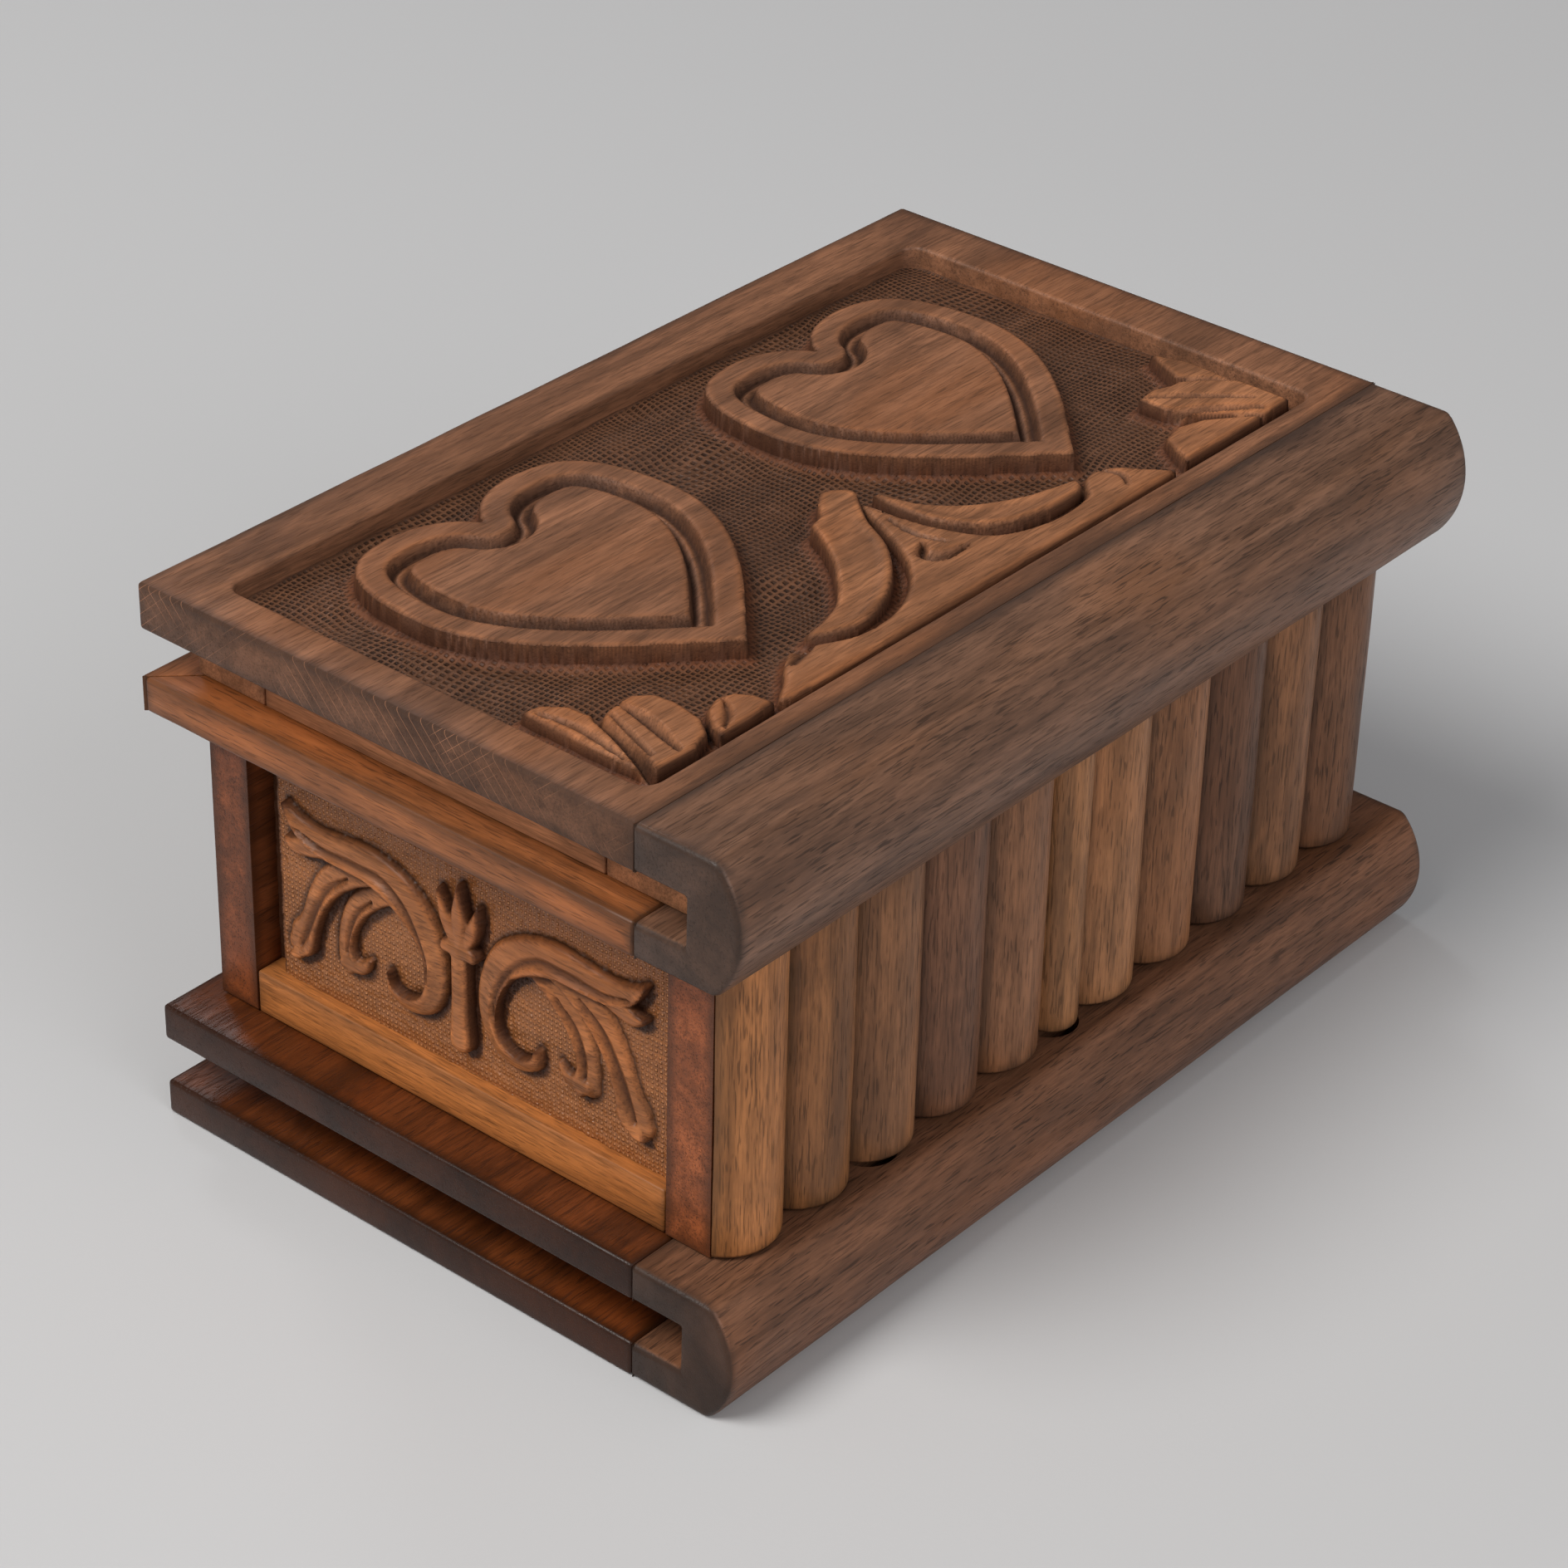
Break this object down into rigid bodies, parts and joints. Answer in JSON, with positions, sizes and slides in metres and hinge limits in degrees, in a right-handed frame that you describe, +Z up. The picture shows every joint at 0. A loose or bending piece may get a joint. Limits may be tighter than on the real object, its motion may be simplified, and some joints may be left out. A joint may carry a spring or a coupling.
{
  "type": "wooden puzzle box",
  "caption": "Lidded wooden keepsake box shaped like half-round columns between two books, with a carved lid, a sliding spine that hides a key, and a keyhole behind a sliding column.",
  "frame": {"origin": "middle of the footprint, on the surface the box stands on", "axes": "+X runs along the box to the right, +Y to the rear (hinge side), +Z up; the columns and the spines face -Y"},
  "size_m": [0.18, 0.118, 0.0967],
  "materials": {
    "board_wood": "walnut stain under satin lacquer",
    "base_wood": "walnut stain under glossy lacquer",
    "spine_wood": "grey-brown stain under satin lacquer",
    "core_wood": "bare, light orange",
    "frame_wood": "orange-brown stain under satin lacquer",
    "wall_wood": "reddish stain under satin lacquer",
    "panel_wood": "tan stain, carved, under satin lacquer",
    "column_warm": "warm tan under satin lacquer",
    "column_tan": "tan under satin lacquer",
    "column_grey": "grey-brown under satin lacquer",
    "brass": "satin, slightly tarnished"
  },
  "bodies": {
    "case": {"base_bottom_board": "base_wood", "base_top_board": "base_wood", "base_core_rear": "core_wood", "base_core_left": "core_wood", "base_core_right": "core_wood", "base_core_front": "core_wood", "front_wall": "wall_wood", "rear_wall": "wall_wood", "left_end_panel": "panel_wood", "right_end_panel": "panel_wood", "column_01": "column_warm", "column_02": "column_tan", "column_03": "column_grey", "column_04": "column_tan", "column_05": "column_grey", "column_07": "column_grey", "column_08": "column_grey", "column_09": "column_tan", "column_10": "column_grey", "column_11": "column_grey", "case_hinge_leaf_left": "brass", "case_hinge_leaf_right": "brass", "hinge_pin_left": "brass", "hinge_pin_right": "brass", "case_hinge_screw_left_1": "brass", "case_hinge_screw_left_2": "brass", "case_hinge_screw_right_1": "brass", "case_hinge_screw_right_2": "brass", "lock_case": "brass", "lock_screw_1": "brass", "lock_screw_2": "brass"},
    "lid": {"lid_top_board": "board_wood", "lid_spine": "spine_wood", "lid_core_left": "core_wood", "lid_core_right": "core_wood", "lid_core_rear": "core_wood", "lid_core_front": "core_wood", "lid_frame_left": "frame_wood", "lid_frame_right": "frame_wood", "lid_frame_rear": "frame_wood", "lid_frame_front": "frame_wood", "lid_hinge_leaf_left": "brass", "lid_hinge_leaf_right": "brass", "lid_hinge_screw_left_1": "brass", "lid_hinge_screw_left_2": "brass", "lid_hinge_screw_right_1": "brass", "lid_hinge_screw_right_2": "brass", "strike_plate": "brass", "strike_screw_1": "brass", "strike_screw_2": "brass"},
    "base_spine": {"base_spine": "spine_wood"},
    "key": {"key": "brass"},
    "key_column": {"key_column": "column_tan"},
    "lock_bolt": {"lock_bolt": "brass"}
  },
  "joints": [
    {"name": "lid_hinge", "type": "hinge", "parent": "case", "child": "lid", "pos_m": [0, 0.0552, 0.07435], "axis": [-1, 0, 0], "range_deg": [0, 100]},
    {"name": "spine_slide", "type": "slide", "parent": "case", "child": "base_spine", "axis": [1, 0, 0], "range_m": [0, 0.045]},
    {"name": "key_lift", "type": "slide", "parent": "base_spine", "child": "key", "axis": [0, 1, 0], "range_m": [0, 0.012]},
    {"name": "column_drop", "type": "slide", "parent": "case", "child": "key_column", "axis": [0, 0, -1], "range_m": [0, 0.013]},
    {"name": "bolt_throw", "type": "slide", "parent": "case", "child": "lock_bolt", "axis": [-1, 0, 0], "range_m": [0, 0.006]}
  ]
}
